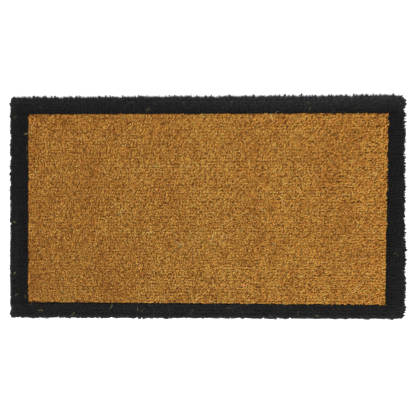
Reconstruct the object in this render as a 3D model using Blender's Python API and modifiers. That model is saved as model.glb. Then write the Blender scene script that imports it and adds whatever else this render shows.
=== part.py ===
"""Coir door mat on a vinyl backing: a natural field inside a border dyed black.

Metres, +Z up. The mat lies on the floor with its length along X. The origin is the
middle of its underside. Tufts stand in lines along X, rooted in the backing, and the
lines are grouped in bands. The dye ends each line at a straight edge, so the bands are
natural in the middle and black at both ends, with a whole band of black in front and
behind.
"""

import bmesh
import bpy

# Vinyl backing, cut to size with a knife.
BACKING_LENGTH = 0.600
BACKING_WIDTH = 0.335
BACKING_THICKNESS = 0.0025
BACKING_CORNER = 0.0015

# Grip grooves moulded into the underside, running along X.
GROOVE_WIDTH = 0.004
GROOVE_DEPTH = 0.0006
GROOVE_PITCH = 0.012
GROOVE_END_MARGIN = 0.012

# Coir pile.
PILE_HEIGHT = 0.0122
PILE_SPLAY = 0.003
PILE_CORNER = 0.0045
PILE_SHOULDER = 0.0015

# Dyed border, from the backing's cut edge to the dye line.
SIDE_BORDER = 0.0245
REAR_BORDER = 0.0237
FRONT_BORDER = 0.0199

# Bands of tuft lines across the natural field.
FIELD_BANDS = 13

# Gap between neighbouring pieces, and how far a cutter passes through a face.
GAP = 0.0003
CUT_THROUGH = 0.001

# Steps round each rounded edge, and the edge layer that the Bevel modifier reads.
BEVEL_STEPS = 3
BEVEL_WEIGHT = "bevel_weight_edge"

# Colour, roughness and metallic value of each finish.
NATURAL_COIR = ((0.347, 0.150, 0.030, 1.0), 0.95, 0.0)
BLACK_COIR = ((0.015, 0.015, 0.015, 1.0), 0.90, 0.0)
VINYL = ((0.030, 0.030, 0.031, 1.0), 0.55, 0.0)


def clear_scene():
    for obj in list(bpy.data.objects):
        bpy.data.objects.remove(obj, do_unlink=True)


def make_collection(name):
    collection = bpy.data.collections.new(name)
    bpy.context.scene.collection.children.link(collection)
    return collection


def make_material(name, finish):
    """A finish with its own Principled shader, for one sub-part."""
    colour, roughness, metallic = finish
    material = bpy.data.materials.new(name)
    material.use_nodes = True
    shader = material.node_tree.nodes["Principled BSDF"]
    shader.inputs["Base Color"].default_value = colour
    shader.inputs["Roughness"].default_value = roughness
    shader.inputs["Metallic"].default_value = metallic
    material.diffuse_color = colour
    return material


def add_object(name, bm, collection):
    mesh = bpy.data.meshes.new(name)
    bm.to_mesh(mesh)
    bm.free()
    obj = bpy.data.objects.new(name, mesh)
    collection.objects.link(obj)
    return obj


def box_mesh(low, high):
    """A box between two corners, as a new bmesh whose edges can be weighed for a bevel."""
    bm = bmesh.new()
    bm.edges.layers.float.new(BEVEL_WEIGHT)
    bmesh.ops.create_cube(bm, size=1.0)
    for vert in bm.verts:
        for axis in range(3):
            vert.co[axis] = high[axis] if vert.co[axis] > 0 else low[axis]
    return bm


def weigh_edge(bm, edge, weight):
    """Gives an edge its share of the Bevel modifier's width."""
    edge[bm.edges.layers.float[BEVEL_WEIGHT]] = weight


def add_bevel(obj, width):
    bevel = obj.modifiers.new("rounded edges", "BEVEL")
    bevel.width = width
    bevel.segments = BEVEL_STEPS
    bevel.limit_method = "WEIGHT"


def add_vinyl_backing(parts, cutters):
    """A cut sheet whose underside has grip grooves, with a flat land on the middle line."""
    half = (BACKING_LENGTH / 2, BACKING_WIDTH / 2)
    bm = box_mesh((-half[0], -half[1], 0), (half[0], half[1], BACKING_THICKNESS))
    for edge in bm.edges:
        if edge.verts[0].co.xy == edge.verts[1].co.xy:
            weigh_edge(bm, edge, 1.0)
    backing = add_object("vinyl_backing", bm, parts)
    backing.data.materials.append(make_material("vinyl_backing", VINYL))
    add_bevel(backing, BACKING_CORNER)
    grooves = add_groove_cutter(cutters)
    cut = backing.modifiers.new("grip grooves", "BOOLEAN")
    cut.operation = "DIFFERENCE"
    cut.solver = "EXACT"
    cut.object = grooves


def add_groove_cutter(cutters):
    """Bars spread evenly on both sides of the middle line, one pitch apart."""
    reach = BACKING_WIDTH / 2 - GROOVE_END_MARGIN - GROOVE_WIDTH / 2
    pairs = int(reach / GROOVE_PITCH + 0.5)
    half_length = BACKING_LENGTH / 2 - GROOVE_END_MARGIN
    first = -(pairs - 0.5) * GROOVE_PITCH
    low = (-half_length, first - GROOVE_WIDTH / 2, -CUT_THROUGH)
    high = (half_length, first + GROOVE_WIDTH / 2, GROOVE_DEPTH)
    bars = add_object("groove_cutter", box_mesh(low, high), cutters)
    bars.display_type = "WIRE"
    bars.hide_render = True
    rows = bars.modifiers.new("rows", "ARRAY")
    rows.count = 2 * pairs
    rows.use_relative_offset = False
    rows.use_constant_offset = True
    rows.constant_offset_displace = (0, GROOVE_PITCH, 0)
    return bars


def outline_signs(point):
    """For X and Y, +1 or -1 where a point is on the backing's cut edge, and 0 elsewhere."""
    half = (BACKING_LENGTH / 2, BACKING_WIDTH / 2)
    near = GAP / 10
    return tuple(int(point[axis] > half[axis] - near) - int(point[axis] < near - half[axis])
                 for axis in (0, 1))


def round_outline(bm, top):
    """Weighs the corner posts of the mat, and the tip edges along its outline."""
    for edge in bm.edges:
        ends = [outline_signs(vert.co) for vert in edge.verts]
        on_side = [first != 0 and first == second for first, second in zip(*ends)]
        at_tips = all(vert.co.z > top - GAP / 10 for vert in edge.verts)
        if all(on_side):
            weigh_edge(bm, edge, 1.0)
        elif any(on_side) and at_tips:
            weigh_edge(bm, edge, PILE_SHOULDER / PILE_CORNER)


def splay_outwards(bm, top):
    """Leans the sides that are on the mat's outline outwards, most at the tips."""
    for vert in bm.verts:
        if vert.co.z > top - GAP / 10:
            x_sign, y_sign = outline_signs(vert.co)
            vert.co.x += x_sign * PILE_SPLAY
            vert.co.y += y_sign * PILE_SPLAY


def add_tufts(name, finish, x_span, y_span, parts):
    """A block of tufts between two X and two Y limits, splayed where it reaches the outline."""
    root = BACKING_THICKNESS + GAP
    top = root + PILE_HEIGHT
    bm = box_mesh((x_span[0], y_span[0], root), (x_span[1], y_span[1], top))
    round_outline(bm, top)
    splay_outwards(bm, top)
    tufts = add_object(name, bm, parts)
    tufts.data.materials.append(make_material(name, finish))
    add_bevel(tufts, PILE_CORNER)


def add_border_bands(parts):
    """The whole lines of dyed tufts in front and behind."""
    x_span = (-BACKING_LENGTH / 2, BACKING_LENGTH / 2)
    front = -BACKING_WIDTH / 2
    rear = BACKING_WIDTH / 2
    front_dye = front + FRONT_BORDER
    rear_dye = rear - REAR_BORDER
    add_tufts("front_border_tufts", BLACK_COIR, x_span, (front, front_dye - GAP / 2), parts)
    add_tufts("rear_border_tufts", BLACK_COIR, x_span, (rear_dye + GAP / 2, rear), parts)


def add_field_bands(parts):
    """Bands of lines across the field, each with its two dyed ends."""
    edge = BACKING_LENGTH / 2
    dye = edge - SIDE_BORDER
    first = -BACKING_WIDTH / 2 + FRONT_BORDER
    last = BACKING_WIDTH / 2 - REAR_BORDER
    band = (last - first) / FIELD_BANDS
    for index in range(FIELD_BANDS):
        y_low = first + index * band + GAP / 2
        y_high = first + (index + 1) * band - GAP / 2
        number = f"{index + 1:02d}"
        add_tufts(f"natural_tufts_{number}", NATURAL_COIR,
                  (-dye + GAP / 2, dye - GAP / 2), (y_low, y_high), parts)
        add_tufts(f"left_border_tufts_{number}", BLACK_COIR,
                  (-edge, -dye - GAP / 2), (y_low, y_high), parts)
        add_tufts(f"right_border_tufts_{number}", BLACK_COIR,
                  (dye + GAP / 2, edge), (y_low, y_high), parts)


def main():
    clear_scene()
    parts = make_collection("door_mat")
    cutters = make_collection("cutters")
    cutters.hide_render = True
    add_vinyl_backing(parts, cutters)
    add_border_bands(parts)
    add_field_bands(parts)


main()
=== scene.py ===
import math

import bpy
import numpy as np
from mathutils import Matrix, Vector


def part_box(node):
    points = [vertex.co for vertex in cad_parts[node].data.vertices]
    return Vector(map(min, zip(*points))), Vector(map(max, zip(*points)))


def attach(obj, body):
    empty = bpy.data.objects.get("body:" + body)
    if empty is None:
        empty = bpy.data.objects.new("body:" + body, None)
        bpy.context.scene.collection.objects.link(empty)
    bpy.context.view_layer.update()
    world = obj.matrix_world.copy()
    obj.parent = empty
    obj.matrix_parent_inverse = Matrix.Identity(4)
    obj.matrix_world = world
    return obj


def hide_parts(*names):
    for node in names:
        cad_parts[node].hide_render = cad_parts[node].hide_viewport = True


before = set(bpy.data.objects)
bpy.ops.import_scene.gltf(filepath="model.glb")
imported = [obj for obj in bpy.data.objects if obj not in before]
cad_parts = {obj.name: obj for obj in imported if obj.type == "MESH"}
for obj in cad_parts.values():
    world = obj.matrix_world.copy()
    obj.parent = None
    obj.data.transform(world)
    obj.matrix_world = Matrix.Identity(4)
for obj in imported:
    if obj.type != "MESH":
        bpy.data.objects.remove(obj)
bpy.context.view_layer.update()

draw = np.random.default_rng(11)
fullTurn = 2 * math.pi

fibreMap = "OFBake"      # each fibre's shade across the map, and its height up it
touching = 1e-5          # places nearer than this are the same

backingLow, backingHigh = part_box("vinyl_backing")
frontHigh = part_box("front_border_tufts")[1]
fieldNodes = sorted(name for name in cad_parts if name.startswith("natural_tufts_"))
leftNodes = sorted(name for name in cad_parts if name.startswith("left_border_tufts_"))
rightNodes = sorted(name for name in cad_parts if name.startswith("right_border_tufts_"))
bandEdges = np.array([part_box(name)[0].y for name in fieldNodes] + [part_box(fieldNodes[-1])[1].y])
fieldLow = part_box(fieldNodes[0])[0]
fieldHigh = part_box(fieldNodes[-1])[1]
halfLength = backingHigh.x
halfWidth = backingHigh.y
pileTop = frontHigh.z
splay = frontHigh.x - backingHigh.x

# above the mat, a touch nearer to its right-hand end
cameraValues = {
    "lens": 85,
    "nearest": 0.01,                   # the camera sees nothing closer than this
    "distance": 1.506,
    "tilt": 1.85,                      # degrees towards +X
    "target": (0.0032, -0.0012, 0.0145),
}


def addCamera():
    values = cameraValues
    data = bpy.data.cameras.new("camera")
    data.lens = values["lens"]
    data.clip_start = values["nearest"]
    camera = bpy.data.objects.new("camera", data)
    bpy.context.scene.collection.objects.link(camera)
    angle = math.radians(values["tilt"])
    x, y, z = values["target"]
    camera.location = (x + values["distance"] * math.sin(angle), y, z + values["distance"] * math.cos(angle))
    camera.rotation_euler = (0, angle, 0)
    bpy.context.scene.camera = camera
    print("camera:", [round(value, 3) for value in camera.location])


class Value:
    def __init__(self, surface, socket):
        self.surface = surface
        self.socket = socket

    def calc(self, operation, first, second):
        return self.surface.value("ShaderNodeMath", {"operation": operation}, {0: first, 1: second})

    def __add__(self, other):
        return self.calc("ADD", self, other)

    def __radd__(self, other):
        return self.calc("ADD", other, self)

    def __sub__(self, other):
        return self.calc("SUBTRACT", self, other)

    def __rsub__(self, other):
        return self.calc("SUBTRACT", other, self)

    def __mul__(self, other):
        return self.calc("MULTIPLY", self, other)

    def __rmul__(self, other):
        return self.calc("MULTIPLY", other, self)

    def __pow__(self, other):
        return self.calc("POWER", self, other)


class Surface:
    def __init__(self, name):
        self.material = bpy.data.materials.new(name)
        self.material.use_nodes = True
        self.tree = self.material.node_tree
        self.shader = self.tree.nodes["Principled BSDF"]

    def fill(self, socket, value):
        if isinstance(value, Value):
            self.tree.links.new(value.socket, socket)
        else:
            socket.default_value = value

    def node(self, kind, settings, inputs):
        made = self.tree.nodes.new(kind)
        for key, setting in settings.items():
            if key == "stops":
                setStops(made.color_ramp, setting)
            else:
                setattr(made, key, setting)
        for key, value in inputs.items():
            self.fill(made.inputs[key], value)
        return made

    def value(self, kind, settings, inputs, output=0):
        return Value(self, self.node(kind, settings, inputs).outputs[output])

    def mix(self, factor, first, second):
        made = self.node("ShaderNodeMix", {"data_type": "RGBA"}, {0: factor, 6: first, 7: second})
        return Value(self, made.outputs[2])

    def finish(self, inputs):
        for key, value in inputs.items():
            self.fill(self.shader.inputs[key], value)
        return self.material


def setStops(ramp, stops):
    while len(ramp.elements) < len(stops):
        ramp.elements.new(0.5)
    for element, (place, colour) in zip(ramp.elements, stops):
        element.position = place
        element.color = (*colour, 1)


def deselect():
    if bpy.context.mode == "EDIT_MESH":
        bpy.ops.mesh.select_all(action="DESELECT")
    else:
        bpy.ops.object.select_all(action="DESELECT")


# coir finishes run from the darkest fibre to the palest
naturalFinish = {
    "stops": ((0.00, (0.050, 0.014, 0.004)), (0.25, (0.360, 0.126, 0.0205)),
              (0.50, (0.748, 0.327, 0.050)), (0.75, (0.738, 0.550, 0.108)),
              (1.00, (0.750, 0.730, 0.285))),
    # painted shade deep in the pile, darkest at the root
    "root": (0.080, 0.030, 0.008),
    "rootShadeReach": 1.3,          # how fast the painted shade deep in the pile fades from the root towards the tip
    "paintedFlankShade": 0.34,              # painted shade: how much of the root's dark is painted on a fibre's flank, but not on its cut end
    "roughness": 0.75,
    "specular": 0.08,
}
blackFinish = {
    "stops": ((0.00, (0.003, 0.003, 0.003)), (0.35, (0.0061, 0.0061, 0.0061)),
              (0.70, (0.0168, 0.0173, 0.0185)), (1.00, (0.042, 0.043, 0.044))),
    # painted shade deep in the pile, darkest at the root
    "root": (0.003, 0.003, 0.003),
    "rootShadeReach": 1.5,
    "paintedFlankShade": 0.10,
    "roughness": 0.60,
    "specular": 0.13,
}
grainValues = {
    "stretch": (70, 5, 1),     # across the map and up it
    "strength": 0.10,
    "cutEnd": (0.935, 0.953),  # how high on the map a fibre's flank, painted with shade, turns to its unshaded pale cut end
}


def coirSurface(name, values):
    surface = Surface(name)
    place = surface.value("ShaderNodeUVMap", {"uv_map": fibreMap}, {})
    shade = surface.value("ShaderNodeSeparateXYZ", {}, {0: place})
    height = surface.value("ShaderNodeSeparateXYZ", {}, {0: place}, 1)
    stretched = surface.value("ShaderNodeVectorMath", {"operation": "MULTIPLY"},
                              {0: place, 1: grainValues["stretch"]})
    grain = surface.value("ShaderNodeTexNoise", {"noise_dimensions": "2D"},
                          {"Vector": stretched, "Scale": 1.0})
    tone = shade + (grain - 0.5) * grainValues["strength"]
    body = surface.value("ShaderNodeValToRGB", {"stops": values["stops"]}, {0: tone})
    # painted shade: darker towards the root, deep in the pile
    fade = (1 - height) ** values["rootShadeReach"]
    # painted shade on the flanks, which the cut ends don't get
    low, high = grainValues["cutEnd"]
    flank = surface.value("ShaderNodeMapRange", {}, {0: height, 1: low, 2: high, 3: values["paintedFlankShade"], 4: 0.0})
    fade = 1 - (1 - fade) * (1 - flank)
    colour = surface.mix(fade, body, (*values["root"], 1))
    return surface.finish({"Base Color": colour, "Roughness": values["roughness"],
                           "Specular IOR Level": values["specular"]})


# the vinyl sheet that holds every tuft, cut square at its edge, with grip grooves moulded underneath
backingValues = {
    "corner": 0.0015,
    "cornerSteps": 3,
    "grooveWidth": 0.004,
    "grooveDepth": 0.0006,
    "groovePitch": 0.012,
    "grooveEnd": 0.012,        # from the ends of the grooves to the sheet's edge
    "softEdge": 0.0002,
    "softSteps": 2,
    "faceDown": -0.9,          # a face whose normal's height is under this looks down
}
vinylFinish = {
    "colour": (0.030, 0.030, 0.031),
    "worn": (0.046, 0.046, 0.046),
    "patches": 14.0,           # across a metre, as the pebbles are
    "patchDetail": 4.0,
    "pebbles": 900,
    "bumpStrength": 0.5,
    "bumpDepth": 0.00012,
    "roughness": 0.42,
    "patchRoughness": 0.25,
}


def vinylSurface():
    values = vinylFinish
    surface = Surface("soft vinyl")
    place = surface.value("ShaderNodeTexCoord", {}, {}, "Object")
    patches = surface.value("ShaderNodeTexNoise", {}, {"Vector": place, "Scale": values["patches"],
                                                       "Detail": values["patchDetail"]})
    pebbles = surface.value("ShaderNodeTexVoronoi", {"feature": "SMOOTH_F1"},
                            {"Vector": place, "Scale": values["pebbles"]})
    relief = surface.value("ShaderNodeBump", {}, {"Strength": values["bumpStrength"],
                                                  "Distance": values["bumpDepth"], "Height": pebbles})
    colour = surface.mix(patches, (*values["colour"], 1), (*values["worn"], 1))
    roughness = values["roughness"] + patches * values["patchRoughness"]
    return surface.finish({"Base Color": colour, "Roughness": roughness, "Normal": relief})


def bisectAll(place, normal):
    bpy.ops.mesh.select_all(action="SELECT")
    bpy.ops.mesh.bisect(plane_co=place, plane_no=normal)


def addBacking():
    values = backingValues
    deselect()
    size = backingHigh - backingLow
    bpy.ops.mesh.primitive_cube_add(size=1, location=(backingLow + backingHigh) / 2, scale=size)
    bpy.ops.object.transform_apply(location=True, rotation=True, scale=True)
    sheet = bpy.context.object
    sheet.name = "backing_sheet"

    for edge in sheet.data.edges:      # the four corner posts
        first, second = (sheet.data.vertices[index].co for index in edge.vertices)
        edge.select = abs(first.z - second.z) > size.z / 2
    bpy.ops.object.mode_set(mode="EDIT")
    bpy.ops.mesh.select_mode(type="EDGE")
    bpy.ops.mesh.bevel(offset=values["corner"], segments=values["cornerSteps"], affect="EDGES")

    # cuts along both sides of every groove and across both its ends
    reach = halfWidth - values["grooveEnd"] - values["grooveWidth"] / 2
    pairs = int(reach / values["groovePitch"] + 0.5)
    middles = (np.arange(-pairs, pairs) + 0.5) * values["groovePitch"]
    end = halfLength - values["grooveEnd"]
    for x in (-end, end):
        bisectAll((x, 0, 0), (1, 0, 0))
    for y in middles:
        for side in (-1, 1):
            bisectAll((0, y + side * values["grooveWidth"] / 2, 0), (0, 1, 0))
    bpy.ops.object.mode_set(mode="OBJECT")

    # the groove floors are pushed up into the sheet
    near = values["grooveWidth"] / 4
    for face in sheet.data.polygons:
        middle = face.center
        inGroove = abs(middle.x) < end and np.abs(middles - middle.y).min() < near
        face.select = bool(inGroove and face.normal.z < values["faceDown"])
    bpy.ops.object.mode_set(mode="EDIT")
    bpy.ops.mesh.select_mode(type="FACE")
    bpy.ops.mesh.extrude_region_move(TRANSFORM_OT_translate={"value": (0, 0, values["grooveDepth"])})
    bpy.ops.object.mode_set(mode="OBJECT")

    soft = sheet.modifiers.new("soft edges", "BEVEL")
    soft.width = values["softEdge"]
    soft.segments = values["softSteps"]
    soft.limit_method = "ANGLE"
    bpy.ops.object.modifier_apply(modifier=soft.name)
    sheet.data.materials.append(vinylSurface())
    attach(sheet, "root")
    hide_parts("vinyl_backing")
    print("backing:", len(middles), "grooves,", len(sheet.data.polygons), "faces")
    return sheet


# one cut fibre, modelled once: a three-sided bar of unit length that widens to its tip
fibreValues = {
    "sides": 3,
    "tipShare": 1.3,           # tip radius as a share of the root's: the cut ends fray and fan out
    "bend": 0.55,              # how high up the fibres of the outline bend
    "upright": 1.5,            # over 1, a leaning fibre stands upright at first and leans more near its tip
    "uprightShare": 0.9,
}


def modelBar(joints):
    values = fibreValues
    deselect()
    bpy.ops.mesh.primitive_cone_add(vertices=values["sides"], radius1=1, radius2=values["tipShare"], depth=1,
                                    end_fill_type="NGON", location=(0, 0, 0.5))
    bpy.ops.object.transform_apply(location=True, rotation=True, scale=True)
    bpy.ops.object.mode_set(mode="EDIT")
    for height in joints:
        bisectAll((0, 0, height), (0, 0, 1))
    bpy.ops.object.mode_set(mode="OBJECT")
    return takeShape(bpy.context.object)


# the corners, faces and face starts of a model, which is then put away
def takeShape(model):
    points = np.array([vert.co for vert in model.data.vertices])
    faces = [list(face.vertices) for face in model.data.polygons]
    sizes = np.array([len(face) for face in faces])
    starts = np.concatenate([[0], np.cumsum(sizes)[:-1]])
    loops = np.concatenate([np.array(face) for face in faces])
    bpy.data.objects.remove(model)
    return points, loops, starts


# where the tufts and their fibres stand
pileValues = {
    "linePitch": 0.00448,      # between yarn lines
    "tuftPitch": 0.0043,       # between tufts along a line
    "tuftJitter": 0.0002,
    "strands": 6,
    "fibres": 3,               # in each strand
    "strandRoot": 0.0015,      # how far a strand stands from the middle of its tuft
    "strandRoots": (0.75, 1.25),         # times that, from strand to strand
    "strandTurn": 0.15,        # how unevenly the strands stand round their tuft
    "fibreRoot": 0.00024,
    "lean": (0.0012, 0.0011),  # how far a tip lies from its root on average
    "tuftLean": 0.0003,
    "strandLean": 0.0004,
    "fibreLean": 0.00025,
    "radius": 0.00026,
    "radii": (0.7, 1.35),      # times that, from fibre to fibre
    "bow": 0.0004,             # sideways, halfway up
    "bedHeight": 0.0045,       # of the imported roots, above the backing
    "topDrop": 0.0002,         # how far the tips lie at least under the shears' level
    "tuftDrop": 0.0004,
    "strandDrop": 0.0004,
    "fibreDrop": 0.0003,
    "leanDrop": 0.10,          # a tip is this share of its lean lower
    "edgeReach": 0.0035,       # how deep the outline's splay reaches in
    "edgeDepth": 0.0050,       # tufts this near the outline show down to the backing
    "lineTone": 0.004,
    "tuftTone": 0.025,
    "strandTone": 0.105,       # evens out between the two strands of each pair
    "fibreTone": 0.132,
    "cloudTone": 0.028,
    "cloudLengths": (0.012, 0.02, 0.035, 0.06, 0.12),
    "endShade": -0.070,         # painted shade: the pile is a little darker towards its ends
    # painted shade, a little darker towards the rear edge
    "rearShade": -0.030,
}
oddStrands = {
    "shortShare": 0.30,        # tufts in which one strand was cut or broken short
    "shortDrop": 0.0009,
    "shortDrops": (0.5, 1.4),  # times that, from strand to strand
    # painted shade on a short strand, which sits low in the pile
    "shortShade": -0.60,
    "paleShare": 0.02,
    "paleTone": 0.16,
}
# small gaps between tufts, down which one sees the roots; the fibres in them are painted with shade
pitValues = {
    "cell": (0.0034, 0.0034),
    "share": 0.72,             # of the cells, those that have a gap
    "radius": (0.00022, 0.00082),
    "below": 0.14,             # a fibre bends over its gap with this share of its lean
    "spareCells": 4,           # more than the backing's length and width need, for the tips that lean out
    "drop": 0.0058,
    # painted shade on the fibres in a gap
    "tone": -0.90,
}
# stretches of a few yarn lines that came out paler, from the left-hand end
paleLines = {
    "lines": ((0.0625, 0.05, 0.10), (0.0535, 0.16, 0.08), (-0.0400, 0.03, 0.11)),   # y, right-hand end, tone
    "reach": 0.0028,           # each way from y
    "dullShare": 0.45,         # of their tufts, those that stay as they are
}
outlineValues = {
    "spacing": 0.0005,         # between strands along the cut edge
    "cornerSpacing": 0.6,      # of that, round the corners
    "zone": 0.0040,            # how far in from the outline their tips lie
    "rimShare": 0.4,           # of them, those whose tips make the outline itself
    "rimZone": 0.1,            # of the zone, how far back those may lie
    "outwards": 1.5,           # over 1, more of them lie near the outline
    "rootZone": 0.6,           # the roots lie as far in as the tips, times this
    "lean": 0.0004,
    "drop": 0.0006,
    "rootCorner": 0.0045,
    "toothWidth": (0.0014, 0.0050),
    "left": (0.0005, 0.70),    # how much further out than the splay the tips reach, and how ragged they are
    "right": (0.0024, 1.50),
    "front": (0.0014, 0.60),
    "rearLeft": (0.0002, 1.00),
    "rearRight": (0.0016, 1.15),
    "toothRise": 0.55,         # how much of a tooth stands past the average reach
    "toothRound": 0.8,
    "toothDepth": 0.0027,
    "toothReach": 0.0009,
    "loose": 0.0007,
}


# an uneven line, of waves of the given lengths
def ripple(along, lengths, strength):
    turns = draw.uniform(0, fullTurn, len(lengths))
    parts = [np.sin(fullTurn * along / length + turn) for length, turn in zip(lengths, turns)]
    return strength * math.sqrt(2 / len(lengths)) * sum(parts)


# soft patches, of waves of the given lengths in all directions
def cloud(x, y, lengths, strength):
    total = np.zeros(len(x))
    headings = 9
    for length in lengths:
        for heading, turn in draw.uniform(0, fullTurn, (headings, 2)):
            along = x * math.cos(heading) + y * math.sin(heading)
            total += np.sin(fullTurn * along / length + turn)
    return strength * math.sqrt(2 / (headings * len(lengths))) * total


def tuftPlaces():
    values = pileValues
    lines = round(2 * halfWidth / values["linePitch"])
    pitchY = 2 * halfWidth / lines
    count = int(2 * halfLength / values["tuftPitch"])
    pitchX = 2 * halfLength / count
    places = []
    for line in range(lines):
        x = -halfLength + (np.arange(count) + draw.uniform(0, 1)) * pitchX
        y = np.full(count, -halfWidth + (line + 0.5) * pitchY)
        places.append(np.stack([x, y, np.full(count, line)], axis=1))
    places = np.concatenate(places)
    places[:, :2] += draw.normal(0, values["tuftJitter"], (len(places), 2))
    return places, lines


# moves points onto a rectangle with rounded corners, where they lie outside it
def insideCorners(points, halfX, halfY, radius):
    np.clip(points, (-halfX, -halfY), (halfX, halfY), out=points)
    over = np.abs(points) - (halfX - radius, halfY - radius)
    reach = np.hypot(over[:, 0], over[:, 1])
    corner = (over > 0).all(axis=1) & (reach > radius)
    pulled = over * (radius / np.maximum(reach, touching))[:, None] + (halfX - radius, halfY - radius)
    points[corner] = (np.sign(points) * pulled)[corner]


# for each place, how far out the tips reach on the side it looks to, and how ragged they are there
def sideValues(x, out):
    values = outlineValues
    right = np.clip(out[:, 0], 0, 1)[:, None]
    left = np.clip(-out[:, 0], 0, 1)[:, None]
    rear = np.clip(out[:, 1], 0, 1)[:, None]
    front = np.clip(-out[:, 1], 0, 1)[:, None]
    share = ((x / halfLength + 1) / 2)[:, None]
    rearMix = np.array(values["rearLeft"]) * (1 - share) + np.array(values["rearRight"]) * share
    total = right * values["right"] + left * values["left"] + front * values["front"] + rear * rearMix
    total /= np.maximum(right + left + front + rear, touching)
    return total[:, 0], total[:, 1]


def tuftStrands():
    values = pileValues
    places, lines = tuftPlaces()
    x, y, line = places.T
    lineTone = draw.normal(0, values["lineTone"], lines)
    tone = lineTone[line.astype(int)] + draw.normal(0, values["tuftTone"], len(x))
    tone += cloud(x, y, values["cloudLengths"], values["cloudTone"])
    # painted shade towards the ends and the rear
    tone += values["endShade"] * np.clip(np.abs(x) / halfLength, 0, 1)
    tone += values["rearShade"] * y / halfWidth
    for lineY, end, paler in paleLines["lines"]:
        inLine = (np.abs(y - lineY) < paleLines["reach"]) & (x < end)
        tone += paler * inLine * (draw.uniform(0, 1, len(x)) > paleLines["dullShare"])
    lean = draw.normal(0, values["tuftLean"], (len(x), 2)) + values["lean"]
    drop = np.abs(draw.normal(0, values["tuftDrop"], len(x)))

    tuft = np.repeat(np.arange(len(x)), values["strands"])
    place = np.tile(np.arange(values["strands"]), len(x)) + draw.normal(0, values["strandTurn"], len(tuft))
    turn = draw.uniform(0, fullTurn, len(x))[tuft] + place * fullTurn / values["strands"]
    away = values["strandRoot"] * draw.uniform(*values["strandRoots"], len(tuft))
    root = np.column_stack([x[tuft] + away * np.cos(turn), y[tuft] + away * np.sin(turn)])
    insideCorners(root, halfLength, halfWidth, outlineValues["rootCorner"])
    lean = lean[tuft] + draw.normal(0, values["strandLean"], (len(tuft), 2))
    pair = draw.normal(0, values["strandTone"], len(tuft) // 2)
    tone = tone[tuft] + np.column_stack([pair, -pair]).ravel()
    drop = drop[tuft] + np.abs(draw.normal(0, values["strandDrop"], len(tuft)))

    short = np.arange(len(tuft)) % values["strands"] == 0
    short &= draw.uniform(0, 1, len(tuft)) < oddStrands["shortShare"]
    pale = ~short & (draw.uniform(0, 1, len(tuft)) < oddStrands["paleShare"])
    drop += short * oddStrands["shortDrop"] * draw.uniform(*oddStrands["shortDrops"], len(tuft))
    # painted shade on short strands; pale strands get their own paler colour
    tone += short * oddStrands["shortShade"] + pale * oddStrands["paleTone"]

    # near the outline the splay takes over from the lean
    inset = np.array((halfLength, halfWidth)) - np.abs(root)
    nearest = inset.min(axis=1)
    calm = 1 - np.exp(-nearest / values["edgeReach"])
    extra = np.column_stack([sideValues(root[:, 0], np.sign(root) * axis)[0] for axis in ((1, 0), (0, 1))])
    lean = lean * calm[:, None] + np.sign(root) * (splay + extra) * np.exp(-inset / values["edgeReach"])
    return {"root": root, "lean": lean, "tone": tone, "drop": drop, "deep": nearest < values["edgeDepth"],
            "bent": np.full(len(tuft), False)}


# places round the cut edge with the way each looks, front side first and on to the right
def outlinePlaces():
    radius = outlineValues["rootCorner"]
    spacing = outlineValues["spacing"]
    arcSpacing = spacing * outlineValues["cornerSpacing"]
    middle = np.array([halfLength, halfWidth]) - radius
    arc = radius * math.pi / 2
    places = []
    begin = 0.0
    for side in range(4):
        angle = side * math.pi / 2
        travel = np.array([math.cos(angle), math.sin(angle)])
        out = np.array([math.sin(angle), -math.cos(angle)])
        run = 2 * (middle * np.abs(travel)).sum()
        along = np.concatenate([np.arange(0, run, spacing), run + np.arange(0, arc, arcSpacing)])
        turned = angle + np.clip((along - run) / radius, 0, None)
        normal = np.column_stack([np.sin(turned), -np.cos(turned)])
        straight = np.minimum(along, run) - run / 2
        edge = out * (middle * np.abs(out)).sum() + travel * straight[:, None] + normal * radius
        places.append(np.column_stack([edge, normal, begin + along]))
        begin += run + arc
    return np.concatenate(places)


# neighbouring strands hold together in small tufts, with a notch between one and the next
def toothShape(along):
    values = outlineValues
    ends = np.cumsum(draw.uniform(*values["toothWidth"], int(along.max() / values["toothWidth"][0]) + 2))
    tooth = np.searchsorted(ends, along)
    starts = np.concatenate([[0], ends])
    across = 2 * (along - starts[tooth]) / (ends[tooth] - starts[tooth]) - 1
    rounded = values["toothRise"] - np.abs(across) ** values["toothRound"]
    return rounded * values["toothDepth"] + draw.normal(0, values["toothReach"], len(ends))[tooth]


# the cut edge, the way it looks, how far out the tips reach from it, and how ragged they are
def shapeOutline():
    places = outlinePlaces()
    edge, out, along = places[:, :2], places[:, 2:4], places[:, 4]
    further, ragged = sideValues(edge[:, 0], out)
    return edge, out, splay + further + ragged * toothShape(along), ragged


def outlineStrands(outline):
    values = outlineValues
    edge, out, profile, ragged = outline
    rim = draw.uniform(0, 1, len(edge)) < values["rimShare"]
    back = np.where(rim, values["rimZone"], 1.0) * draw.uniform(0, 1, len(edge)) ** values["outwards"]
    reach = profile - back * values["zone"]
    reach -= np.abs(draw.normal(0, values["loose"], len(edge))) * ragged
    inset = back * values["zone"] * values["rootZone"]
    root = edge - out * inset[:, None]
    lean = out * (reach + inset)[:, None] + draw.normal(0, values["lean"], edge.shape)
    return {"root": root, "lean": lean, "tone": draw.normal(0, pileValues["strandTone"], len(edge)),
            "drop": np.abs(draw.normal(0, values["drop"], len(edge))), "deep": np.full(len(edge), True),
            "bent": np.full(len(edge), True)}


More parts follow.
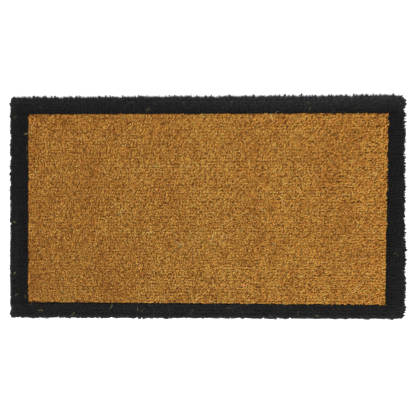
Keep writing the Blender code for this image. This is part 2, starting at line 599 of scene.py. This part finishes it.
def growFibres(outline):
    values = pileValues
    inner = tuftStrands()
    outer = outlineStrands(outline)
    strands = {key: np.concatenate([inner[key], outer[key]]) for key in inner}
    strand = np.repeat(np.arange(len(strands["tone"])), values["fibres"])
    count = len(strand)
    root = strands["root"][strand] + draw.normal(0, values["fibreRoot"], (count, 2))
    insideCorners(root, halfLength, halfWidth, outlineValues["rootCorner"])
    lean = strands["lean"][strand] + draw.normal(0, values["fibreLean"], (count, 2))
    drop = values["topDrop"] + strands["drop"][strand] + np.abs(draw.normal(0, values["fibreDrop"], count))
    drop += values["leanDrop"] * np.hypot(*lean.T)
    base = np.where(strands["deep"][strand], backingHigh.z, backingHigh.z + values["bedHeight"])
    return {
        "root": np.column_stack([root, base]),
        "tip": np.column_stack([root + lean, pileTop - drop]),
        "bow": draw.normal(0, values["bow"], (count, 2)),
        "turn": draw.uniform(0, fullTurn, count),
        "radius": values["radius"] * draw.uniform(*values["radii"], count),
        "tone": strands["tone"][strand] + draw.normal(0, values["fibreTone"], count),
        "bent": strands["bent"][strand],
    }


# lowers the fibres that stand in a gap, of which each cell has at most one, and paints shade on them
def openPits(fibres):
    values = pitValues
    cell = np.array(values["cell"])
    counts = np.ceil(2 * np.array((halfLength, halfWidth)) / cell).astype(int) + values["spareCells"]
    radius = draw.uniform(*values["radius"], counts) * (draw.uniform(0, 1, counts) < values["share"])
    room = cell - 2 * values["radius"][1]
    offset = values["radius"][1] + draw.uniform(0, 1, (*counts, 2)) * room
    lean = fibres["tip"][:, :2] - fibres["root"][:, :2]
    inPit = np.full(len(lean), False)
    for share in (0, values["below"]):
        point = fibres["tip"][:, :2] - lean * share + counts * cell / 2
        place = np.clip((point / cell).astype(int), 0, counts - 1)
        column, row = place.T
        away = np.hypot(*(point - place * cell - offset[column, row]).T)
        inPit |= away < radius[column, row]
    fibres["tip"][inPit, 2] -= values["drop"]
    # painted shade in the gap
    fibres["tone"][inPit] += values["tone"]
    print("gaps:", int((radius > 0).sum()), "with", int(inPit.sum()), "fibres")


# the corners of every fibre: the model's own, from root to tip, bent and turned
def placeFibres(points, fibres):
    values = fibreValues
    height = points[:, 2][None, :, None]
    root = fibres["root"][:, None, :]
    tip = fibres["tip"][:, None, :]
    placed = root + (tip - root) * height
    late = (tip - root)[:, :, :2] * (height ** values["upright"] - height) * values["uprightShare"]
    bow = fibres["bow"][:, None, :] * 4 * height * (1 - height)
    placed[:, :, :2] += late + bow
    cos = np.cos(fibres["turn"])[:, None]
    sin = np.sin(fibres["turn"])[:, None]
    ringX = points[:, 0][None, :] * cos - points[:, 1][None, :] * sin
    ringY = points[:, 0][None, :] * sin + points[:, 1][None, :] * cos
    placed[:, :, 0] += ringX * fibres["radius"][:, None]
    placed[:, :, 1] += ringY * fibres["radius"][:, None]
    return placed


# a hair lies flat and bends evenly from end to end
def placeHairs(points, hairs):
    share = points[:, 2][None, :]
    heading = hairs["heading"][:, None] + hairs["curl"][:, None] * (share - 0.5)
    straight = 0.01
    curl = np.where(np.abs(hairs["curl"]) < straight, straight, hairs["curl"])[:, None]
    radius = hairs["length"][:, None] / curl
    first = hairs["heading"][:, None] - curl / 2
    x = hairs["x"][:, None] + radius * (np.sin(heading) - np.sin(first))
    y = hairs["y"][:, None] - radius * (np.cos(heading) - np.cos(first))
    thick = hairs["radius"][:, None]
    x = x - np.sin(heading) * points[:, 0][None, :] * thick
    y = y + np.cos(heading) * points[:, 0][None, :] * thick
    z = hairs["z"][:, None] + points[:, 1][None, :] * thick + hairs["arch"][:, None] * 4 * share * (1 - share)
    return np.stack([x, y, z], axis=2)


# where a fibre or a hair lies on the map
mapValues = {
    "shades": (0.02, 0.98),
    "across": 0.002,           # half its width
    "root": 0.03,
    "length": 0.93,
    "around": 0.006,           # lets its cut end have a little area too
}


def stampPart(template, place, copies):
    values = mapValues
    points, loops, starts = template
    count = len(copies["tone"])
    placed = place(points, copies)
    shade = np.clip(copies["tone"], *values["shades"])[:, None] + points[:, 0][None, :] * values["across"]
    up = values["root"] + values["length"] * points[:, 2][None, :] + points[:, 1][None, :] * values["around"]
    marks = np.stack(np.broadcast_arrays(shade, up), axis=2).reshape(-1, 2)
    allLoops = (loops[None, :] + (np.arange(count) * len(points))[:, None]).ravel()
    allStarts = (starts[None, :] + (np.arange(count) * len(loops))[:, None]).ravel()
    return placed.reshape(-1, 3), allLoops, allStarts, marks


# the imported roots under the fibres, one bumpy block per piece
bedValues = {
    "cell": 0.0026,
    "edgeCell": 0.0007,        # along the outline, where the block follows the tufts' shape
    "bump": 0.0009,
    "aboveRoots": 0.0004,      # how far its top covers the roots of the fibres
    "wallFoot": 0.0002,        # how far the foot of its wall stays inside the cut edge
    "under": 0.0010,           # how far the block stays inside the outermost tips
    "edgeDrop": 0.0030,        # and under the level they are cut at
    "slope": 0.0030,
    "meet": 0.0002,            # neighbouring blocks just meet
    "shade": (0.11, 0.04),     # where it lies on the map, and how far it strays there: low and dark, as painted shade deep in the pile
    "shades": (0.03, 0.97),
    "mapRoot": 0.02,
    "mapLength": 0.60,
    "mapStray": 0.05,
}


# moves a block's outer wall out to the tufts' own outline, and raises its top there
def followOutline(points, high, outline):
    values = bedValues
    edge, out, profile = outline[:3]
    inset = np.array((halfLength, halfWidth)) - np.abs(points[:, :2])
    nearest = inset.min(axis=1)
    top = points[:, 2] > high.z - touching
    rows = np.flatnonzero(nearest < touching)
    closest = [int(np.argmin(((edge - points[row, :2]) ** 2).sum(axis=1))) for row in rows]
    away = np.where(top[rows], profile[closest] - values["under"], -values["wallFoot"])
    points[rows, :2] = edge[closest] + out[closest] * away[:, None]
    rise = pileTop - values["edgeDrop"] - high.z
    points[top, 2] += rise * np.exp(-nearest[top] / values["slope"])


def modelBed(low, high, outline):
    values = bedValues
    size = high - low
    onSide = [any(abs(abs(corner[axis]) - reach) < touching for corner in (low, high))
              for axis, reach in ((0, halfLength), (1, halfWidth))]
    cells = (values["edgeCell"] if onSide[1] else values["cell"],
             values["edgeCell"] if onSide[0] and not onSide[1] else values["cell"])
    deselect()
    bpy.ops.mesh.primitive_cube_add(size=1, location=(low + high) / 2, scale=size)
    bpy.ops.object.transform_apply(location=True, rotation=True, scale=True)
    bpy.ops.object.mode_set(mode="EDIT")
    for axis in (0, 1):
        steps = max(2, round(size[axis] / cells[axis]))
        normal = [0, 0, 0]
        normal[axis] = 1
        for step in range(1, steps):
            place = list(low)
            place[axis] = low[axis] + size[axis] * step / steps
            bisectAll(place, normal)
    bpy.ops.object.mode_set(mode="OBJECT")
    points, loops, starts = takeShape(bpy.context.object)
    top = points[:, 2] > high.z - touching
    if any(onSide):
        followOutline(points, high, outline)
    points[top, 2] += draw.normal(0, values["bump"], top.sum())
    # the block is painted dark, as shade deep in the pile
    shade = np.clip(draw.normal(*values["shade"], len(points)), *values["shades"])
    up = values["mapRoot"] + values["mapLength"] * (points[:, 2] - low.z) / (pileTop - low.z)
    up += draw.uniform(0, values["mapStray"], len(points))
    return points, loops, starts, np.stack([shade, up], axis=1)


# one mesh of several parts, with the fibre map
def addPiece(name, parts, material):
    points = np.concatenate([part[0] for part in parts])
    pointCount = np.cumsum([0] + [len(part[0]) for part in parts])
    loopCount = np.cumsum([0] + [len(part[1]) for part in parts])
    loops = np.concatenate([part[1] + before for part, before in zip(parts, pointCount)])
    starts = np.concatenate([part[2] + before for part, before in zip(parts, loopCount)])
    marks = np.concatenate([part[3] for part in parts])
    mesh = bpy.data.meshes.new(name)
    mesh.vertices.add(len(points))
    mesh.vertices.foreach_set("co", points.astype(np.float32).ravel())
    mesh.loops.add(len(loops))
    mesh.loops.foreach_set("vertex_index", loops.astype(np.int32))
    mesh.polygons.add(len(starts))
    mesh.polygons.foreach_set("loop_start", starts.astype(np.int32))
    layer = mesh.uv_layers.new(name=fibreMap)
    layer.data.foreach_set("uv", marks[loops].astype(np.float32).ravel())
    mesh.update(calc_edges=True)
    mesh.validate()
    mesh.shade_smooth()
    mesh.materials.append(material)
    piece = bpy.data.objects.new(name, mesh)
    bpy.context.scene.collection.objects.link(piece)
    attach(piece, "root")
    return piece


def addTuftPiece(name, node, chosen, fibres, shapes, material):
    templates, outline = shapes
    parts = []
    for template, bent in zip(templates, (False, True)):
        mine = chosen & (fibres["bent"] == bent)
        parts.append(stampPart(template, placeFibres, {key: value[mine] for key, value in fibres.items()}))
    low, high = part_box(node)
    for axis, edge in ((0, halfLength), (1, halfWidth)):
        low[axis] = max(low[axis] - bedValues["meet"], -edge)
        high[axis] = min(high[axis] + bedValues["meet"], edge)
    high.z = backingHigh.z + pileValues["bedHeight"] + bedValues["aboveRoots"]
    parts.append(modelBed(low, high, outline))
    piece = addPiece(name, parts, material)
    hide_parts(node)
    return piece


# where the black dye ends
dyeValues = {
    "leftShift": 0.0012,
    "rearShift": -0.0004,
    "rightShift": 0.0010,
    "rightDrift": 0.0026,      # how far the right-hand line is out at its rear end, and in at its front end
    "frontDrift": 0.0020,
    "wander": 0.0004,
    "straighter": 0.7,         # the other three lines wander this share of the right-hand one
    "wanderLengths": (0.07, 0.031, 0.014),
    "seam": 0.0016,            # the dyed pile is darker this near the line
    "seamTone": 0.15,
    "crossLean": 0.7,          # a fibre rooted across the line leans the other way instead, times this
    "crossBow": 0.4,
}
# how pale the fibres are on average, from 0 to 1 along their finish
toneValues = {
    "natural": 0.487,
    "border": 0.47,
    "front": 0.14,             # painted sheen: paler by this in front, and towards the rear edge
    "rear": 0.21,
    "rearSheenReach": 0.012,
    "borderSpread": 0.85,      # the dye evens the fibres out
}
# fibres at the rear right-hand corner stand further out and catch more light, and are painted paler there as
# a highlight
brushedCornerSheen = {
    "fromX": -0.10,
    "toX": 0.20,
    "lean": 0.0016,
    "calmNear": 0.004,         # nearer to the cut edge than this they stay closer in
    # painted highlight
    "tone": 0.22,
}


def dyeLines(x, y):
    values = dyeValues
    lengths, wander = values["wanderLengths"], values["wander"]
    calm = wander * values["straighter"]
    left = fieldLow.x + values["leftShift"] + ripple(y, lengths, calm)
    right = fieldHigh.x + values["rightShift"] + values["rightDrift"] * y / fieldHigh.y
    right += ripple(y, lengths, wander)
    front = fieldLow.y - values["frontDrift"] * x / fieldHigh.x + ripple(x, lengths, calm)
    rear = fieldHigh.y + values["rearShift"] + ripple(x, lengths, calm)
    return np.column_stack([left, front]), np.column_stack([right, rear])


def brushCornerAndSheen(fibres):
    values = brushedCornerSheen
    tip = fibres["tip"]
    along = np.clip((tip[:, 0] - values["fromX"]) / (values["toX"] - values["fromX"]), 0, 1)
    across = np.clip((tip[:, 1] - fieldHigh.y) / (halfWidth - fieldHigh.y), 0, 1)
    strength = along * across
    inside = np.clip((halfWidth - tip[:, 1]) / values["calmNear"], 0, 1)
    tip[:, 1] += values["lean"] * strength * inside
    # painted highlight where they lean out
    fibres["tone"] += values["tone"] * strength


# says which fibres are natural, and keeps each on its own side of the dye line
def keepToDyeSide(fibres):
    values = dyeValues
    tip = fibres["tip"][:, :2]
    root = fibres["root"][:, :2]
    low, high = dyeLines(*tip.T)
    natural = ((tip > low) & (tip < high)).all(axis=1)
    rooted = ((root > low) & (root < high)).all(axis=1)
    crossing = natural != rooted
    fibres["root"][crossing, :2] = tip[crossing] + values["crossLean"] * (tip - root)[crossing]
    fibres["bow"][crossing] *= values["crossBow"]
    gap = np.minimum(np.abs(tip - low), np.abs(tip - high)).min(axis=1)
    fibres["tone"] -= (~natural) * values["seamTone"] * np.exp(-gap / values["seam"])
    return natural


def addPile():
    values = toneValues
    outline = shapeOutline()
    shapes = ((modelBar(()), modelBar((fibreValues["bend"],))), outline)
    fibres = growFibres(outline)
    openPits(fibres)
    brushCornerAndSheen(fibres)
    natural = keepToDyeSide(fibres)
    tipX, tipY = fibres["tip"][:, 0], fibres["tip"][:, 1]
    # painted sheen on the front border and towards the rear edge
    borderTone = values["border"] + values["front"] * (tipY < fieldLow.y)
    borderTone += values["rear"] * np.clip((tipY - fieldHigh.y) / values["rearSheenReach"], 0, 1)
    fibres["tone"] = np.where(natural, values["natural"] + fibres["tone"],
                              borderTone + values["borderSpread"] * fibres["tone"])
    band = np.clip(np.searchsorted(bandEdges, tipY) - 1, 0, len(fieldNodes) - 1)
    naturalCoir = coirSurface("natural coir", naturalFinish)
    blackCoir = coirSurface("black coir", blackFinish)
    front = ~natural & (tipY < fieldLow.y)
    rear = ~natural & (tipY > fieldHigh.y)
    side = ~natural & ~front & ~rear
    pieces = [addTuftPiece("front_border_pile", "front_border_tufts", front, fibres, shapes, blackCoir),
              addTuftPiece("rear_border_pile", "rear_border_tufts", rear, fibres, shapes, blackCoir)]
    for index, (middle, left, right) in enumerate(zip(fieldNodes, leftNodes, rightNodes)):
        number = f"{index + 1:02d}"
        inBand = band == index
        pieces.append(addTuftPiece("natural_pile_" + number, middle, natural & inBand, fibres, shapes,
                                   naturalCoir))
        pieces.append(addTuftPiece("left_border_pile_" + number, left, side & inBand & (tipX < 0), fibres,
                                   shapes, blackCoir))
        pieces.append(addTuftPiece("right_border_pile_" + number, right, side & inBand & (tipX > 0), fibres,
                                   shapes, blackCoir))
    print("pile:", len(tipX), "fibres in", len(pieces), "pieces")
    return pieces


# hairs and husk, each of its own shade
looseFinish = {
    "roughness": 0.7,
    "specular": 0.2,
}


def plainSurface(name, stops):
    surface = Surface(name)
    place = surface.value("ShaderNodeUVMap", {"uv_map": fibreMap}, {})
    shade = surface.value("ShaderNodeSeparateXYZ", {}, {0: place})
    colour = surface.value("ShaderNodeValToRGB", {"stops": stops}, {0: shade})
    return surface.finish({"Base Color": colour, "Roughness": looseFinish["roughness"],
                           "Specular IOR Level": looseFinish["specular"]})


# pale undyed hairs that lie loose on the pile
hairValues = {
    "joints": (0.14, 0.28, 0.43, 0.57, 0.72, 0.86),
    "onField": 60,
    "onBorder": 34,
    "length": (0.006, 0.016),
    "borderLength": 0.6,       # of that, on the border, where the cut ends are short
    "curl": 1.1,               # radians turned from end to end
    "fieldRadius": (0.00010, 0.00017),
    "borderRadius": (0.00003, 0.00007),
    "colours": ((0.0, (0.560, 0.380, 0.110)), (1.0, (0.760, 0.640, 0.300))),
    "arch": 0.0005,
    "rest": (-0.0004, 0.0002), # how far above the tips they lie
    "shades": (0.05, 0.95),
    "fluff": (-0.0095, 0.1715),          # a little tangle caught at the rear edge
    "fluffSpread": 0.0012,
    "fluffHairs": 9,
    "fluffLength": (0.003, 0.009),       # times the border's share
}


def addHairs():
    values = hairValues
    field = draw.uniform((fieldLow.x, fieldLow.y), (fieldHigh.x, fieldHigh.y), (values["onField"], 2))
    ring = []
    while len(ring) < values["onBorder"]:
        x, y = draw.uniform((-halfLength, -halfWidth), (halfLength, halfWidth))
        if not (fieldLow.x < x < fieldHigh.x and fieldLow.y < y < fieldHigh.y):
            ring.append((x, y))
    fluff = values["fluff"] + draw.normal(0, values["fluffSpread"], (values["fluffHairs"], 2))
    middle = np.concatenate([field, ring, fluff])
    count = len(middle)
    length = draw.uniform(*values["length"], count)
    length[-values["fluffHairs"]:] = draw.uniform(*values["fluffLength"], values["fluffHairs"])
    heading = draw.uniform(0, fullTurn, count)
    onField = np.arange(count) < values["onField"]
    length[~onField] *= values["borderLength"]
    radius = np.where(onField, draw.uniform(*values["fieldRadius"], count),
                      draw.uniform(*values["borderRadius"], count))
    hairs = {
        "x": middle[:, 0] - np.cos(heading) * length / 2,
        "y": middle[:, 1] - np.sin(heading) * length / 2,
        "z": pileTop + draw.uniform(*values["rest"], count),
        "heading": heading,
        "length": length,
        "curl": draw.normal(0, values["curl"], count),
        "arch": draw.uniform(0, values["arch"], count),
        "radius": radius,
        "tone": draw.uniform(*values["shades"], count),
    }
    pale = plainSurface("pale hair", values["colours"])
    piece = addPiece("loose_hairs", [stampPart(modelBar(values["joints"]), placeHairs, hairs)], pale)
    print("loose hairs:", count)
    return piece


# small chips of reddish husk caught between the tips
fleckValues = {
    "joints": (0.3, 0.7),
    "placed": ((-0.1985, 0.0665, 0.0030, 1.4), (-0.1925, 0.0675, 0.0036, 1.9),      # x, y, length, heading
               (0.0545, -0.1195, 0.0028, 0.4), (0.0570, -0.1215, 0.0034, 1.1),
               (0.0600, -0.1205, 0.0026, 2.2)),
    "placedShades": (0.85, 0.95),
    "dull": 26,
    "dullLength": (0.0015, 0.0032),
    "dullShades": (0.05, 0.5),
    "width": 0.00045,          # each way from its middle line
    "widths": (0.8, 1.2),      # times that, from fleck to fleck
    "curl": 0.3,
    "arch": 0.0002,
    "sunk": 0.0002,            # under the tips
    "colours": ((0.0, (0.230, 0.060, 0.018)), (1.0, (0.780, 0.270, 0.140))),
}


def addFlecks():
    values = fleckValues
    placed = np.array(values["placed"])
    dull = values["dull"]
    spots = draw.uniform((fieldLow.x, fieldLow.y), (fieldHigh.x, fieldHigh.y), (dull, 2))
    count = len(placed) + dull
    flecks = {
        "x": np.concatenate([placed[:, 0], spots[:, 0]]),
        "y": np.concatenate([placed[:, 1], spots[:, 1]]),
        "z": np.full(count, pileTop - values["sunk"]),
        "heading": np.concatenate([placed[:, 3], draw.uniform(0, math.pi, dull)]),
        "length": np.concatenate([placed[:, 2], draw.uniform(*values["dullLength"], dull)]),
        "curl": draw.normal(0, values["curl"], count),
        "arch": np.full(count, values["arch"]),
        "radius": values["width"] * draw.uniform(*values["widths"], count),
        "tone": np.concatenate([draw.uniform(*values["placedShades"], len(placed)),
                                draw.uniform(*values["dullShades"], dull)]),
    }
    husk = plainSurface("reddish husk", values["colours"])
    piece = addPiece("husk_flecks", [stampPart(modelBar(values["joints"]), placeHairs, flecks)], husk)
    print("flecks:", count)
    return piece


# a paper floor, a large soft light above the front edge and a small cool one low behind
stageValues = {
    "floor": 8.0,
    "floorColour": (0.92, 0.92, 0.92, 1),
    "floorRoughness": 0.9,
    "floorSpecular": 0.1,
    "worldColour": (1, 1, 1, 1),
    "world": 1.15,
    "keySize": 1.2,
    "keyPower": 88,
    "keyPlace": (0.10, -0.8, 1.9),
    "keyColour": (1.0, 0.98, 0.95),
    "rimSize": 0.9,
    "rimPower": 16,
    "rimPlace": (0.3, 1.6, 0.8),
    "rimColour": (0.78, 0.90, 1.0),
}


def addLight(name, size, power, place, colour):
    data = bpy.data.lights.new(name, "AREA")
    data.size = size
    data.energy = power
    data.color = colour
    light = bpy.data.objects.new(name, data)
    light.location = place
    bpy.context.scene.collection.objects.link(light)
    aim = -light.location
    light.rotation_euler = aim.to_track_quat("-Z", "Y").to_euler()


def addStage():
    values = stageValues
    deselect()
    bpy.ops.mesh.primitive_plane_add(size=values["floor"], location=(0, 0, 0))
    floor = bpy.context.object
    floor.name = "floor"
    paper = Surface("floor paper")
    floor.data.materials.append(paper.finish({"Base Color": values["floorColour"],
                                              "Roughness": values["floorRoughness"],
                                              "Specular IOR Level": values["floorSpecular"]}))
    addLight("key", values["keySize"], values["keyPower"], values["keyPlace"], values["keyColour"])
    addLight("rim", values["rimSize"], values["rimPower"], values["rimPlace"], values["rimColour"])
    world = bpy.data.worlds.new("studio")
    world.use_nodes = True
    background = world.node_tree.nodes["Background"]
    background.inputs["Color"].default_value = values["worldColour"]
    background.inputs["Strength"].default_value = values["world"]
    bpy.context.scene.world = world
    bpy.context.scene.view_settings.view_transform = "Standard"
    print("stage: floor, key, rim and world")


addCamera()
addStage()
backing = addBacking()
pile = addPile()
loose = [addHairs(), addFlecks()]
triangles = sum(len(face.vertices) - 2 for piece in [backing] + pile + loose for face in piece.data.polygons)
print("triangles:", triangles)
